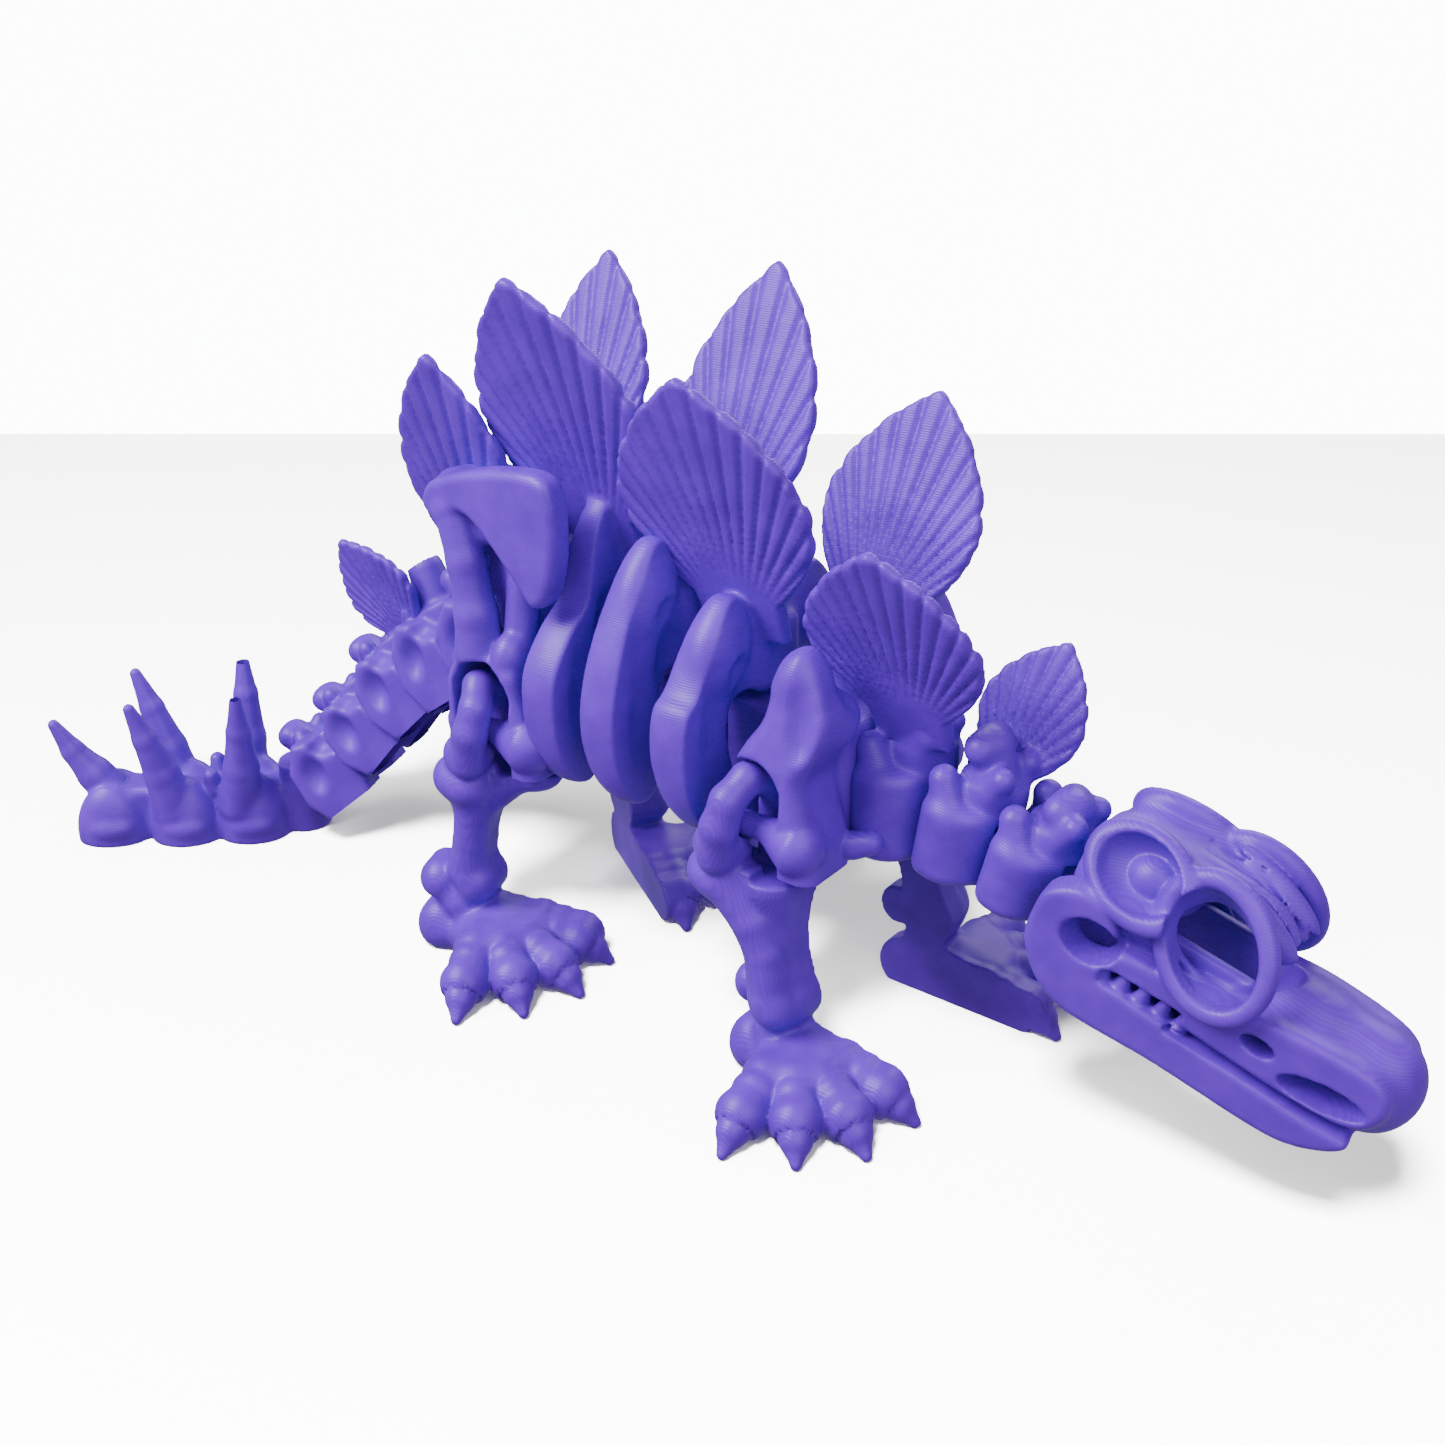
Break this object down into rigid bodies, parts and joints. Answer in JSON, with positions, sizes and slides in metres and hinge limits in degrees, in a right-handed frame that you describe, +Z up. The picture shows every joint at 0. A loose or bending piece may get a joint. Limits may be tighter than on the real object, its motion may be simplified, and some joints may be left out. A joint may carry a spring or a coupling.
{
  "type": "articulated dinosaur skeleton toy",
  "caption": "Print-in-place articulated toy of a plated dinosaur's skeleton, in one colour of plastic, standing with its curved spiked tail on the ground.",
  "frame": {"origin": "centre of the bounding box at the ground the toy stands on", "axes": "+X towards the head, +Y to the toy's left, +Z up"},
  "size_m": [0.2902, 0.0946, 0.1353],
  "materials": {
    "purple_plastic": "as-printed satin, with fine layer lines"
  },
  "bodies": {
    "middle_ribs": {"middle_ribs": "purple_plastic"},
    "front_ribs": {"front_ribs": "purple_plastic"},
    "shoulder_girdle": {"shoulder_girdle": "purple_plastic"},
    "neck_3": {"neck_3": "purple_plastic"},
    "neck_2": {"neck_2": "purple_plastic"},
    "neck_1": {"neck_1": "purple_plastic"},
    "skull": {"skull": "purple_plastic"},
    "rear_ribs": {"rear_ribs": "purple_plastic"},
    "hip_girdle": {"hip_girdle": "purple_plastic"},
    "tail_1": {"tail_1": "purple_plastic"},
    "tail_2": {"tail_2": "purple_plastic"},
    "tail_3": {"tail_3": "purple_plastic"},
    "tail_4": {"tail_4": "purple_plastic"},
    "tail_5": {"tail_5": "purple_plastic"},
    "tail_club": {"tail_club": "purple_plastic"},
    "front_leg_right": {"front_leg_right": "purple_plastic"},
    "front_leg_left": {"front_leg_left": "purple_plastic"},
    "hind_leg_right": {"hind_leg_right": "purple_plastic"},
    "hind_leg_left": {"hind_leg_left": "purple_plastic"}
  },
  "joints": [
    {"name": "front_ribs_yaw", "type": "hinge", "parent": "middle_ribs", "child": "front_ribs", "pos_m": [0.0115, 0.00091, 0.054], "axis": [0, 0, 1], "range_deg": [-10, 10]},
    {"name": "shoulder_girdle_yaw", "type": "hinge", "parent": "front_ribs", "child": "shoulder_girdle", "pos_m": [0.0275, 0.00091, 0.054], "axis": [0, 0, 1], "range_deg": [-10, 10]},
    {"name": "neck_3_yaw", "type": "hinge", "parent": "shoulder_girdle", "child": "neck_3", "pos_m": [0.0415, 0.00091, 0.054], "axis": [0, 0, 1], "range_deg": [-6, 6]},
    {"name": "neck_2_yaw", "type": "hinge", "parent": "neck_3", "child": "neck_2", "pos_m": [0.0553, 0.00091, 0.054], "axis": [0, 0, 1], "range_deg": [-14, 14]},
    {"name": "neck_1_yaw", "type": "hinge", "parent": "neck_2", "child": "neck_1", "pos_m": [0.0683, 0.00091, 0.0525], "axis": [0.1392, 0, 0.9903], "range_deg": [-14, 14]},
    {"name": "skull_yaw", "type": "hinge", "parent": "neck_1", "child": "skull", "pos_m": [0.0809, 0.00091, 0.0494], "axis": [0.225, 0, 0.9744], "range_deg": [-14, 14]},
    {"name": "rear_ribs_yaw", "type": "hinge", "parent": "middle_ribs", "child": "rear_ribs", "pos_m": [-0.0029, 0.00091, 0.054], "axis": [0, 0, 1], "range_deg": [-10, 10]},
    {"name": "hip_girdle_yaw", "type": "hinge", "parent": "rear_ribs", "child": "hip_girdle", "pos_m": [-0.0169, 0.00091, 0.054], "axis": [0, 0, 1], "range_deg": [-6, 6]},
    {"name": "tail_1_yaw", "type": "hinge", "parent": "hip_girdle", "child": "tail_1", "pos_m": [-0.0419, 0.00091, 0.062], "axis": [-0.454, 0, 0.891], "range_deg": [-14, 14]},
    {"name": "tail_2_yaw", "type": "hinge", "parent": "tail_1", "child": "tail_2", "pos_m": [-0.05633, 0.00091, 0.05464], "axis": [-0.5874, -0.0205, 0.809], "range_deg": [-14, 14]},
    {"name": "tail_3_yaw", "type": "hinge", "parent": "tail_2", "child": "tail_3", "pos_m": [-0.06943, 0.00045, 0.04512], "axis": [-0.7123, -0.1001, 0.6947], "range_deg": [-14, 14]},
    {"name": "tail_4_yaw", "type": "hinge", "parent": "tail_3", "child": "tail_4", "pos_m": [-0.08058, -0.00111, 0.03347], "axis": [-0.7646, -0.1906, 0.6157], "range_deg": [-14, 14]},
    {"name": "tail_5_yaw", "type": "hinge", "parent": "tail_4", "child": "tail_5", "pos_m": [-0.09025, -0.00353, 0.0207], "axis": [-0.596, -0.2408, 0.766], "range_deg": [-14, 14]},
    {"name": "tail_club_yaw", "type": "hinge", "parent": "tail_5", "child": "tail_club", "pos_m": [-0.10176, -0.00817, 0.01029], "axis": [0, 0, 1], "range_deg": [-14, 14]},
    {"name": "front_leg_right_splay", "type": "hinge", "parent": "shoulder_girdle", "child": "front_leg_right", "pos_m": [0.0356, -0.02209, 0.0514], "axis": [-1, 0, 0], "range_deg": [-5, 80]},
    {"name": "front_leg_left_splay", "type": "hinge", "parent": "shoulder_girdle", "child": "front_leg_left", "pos_m": [0.0398, 0.02391, 0.0514], "axis": [-1, 0, 0], "range_deg": [-80, 5]},
    {"name": "hind_leg_right_splay", "type": "hinge", "parent": "hip_girdle", "child": "hind_leg_right", "pos_m": [-0.0275, -0.02209, 0.0514], "axis": [-1, 0, 0], "range_deg": [-3, 80]},
    {"name": "hind_leg_left_splay", "type": "hinge", "parent": "hip_girdle", "child": "hind_leg_left", "pos_m": [-0.0241, 0.02391, 0.0514], "axis": [-1, 0, 0], "range_deg": [-80, 3]}
  ]
}
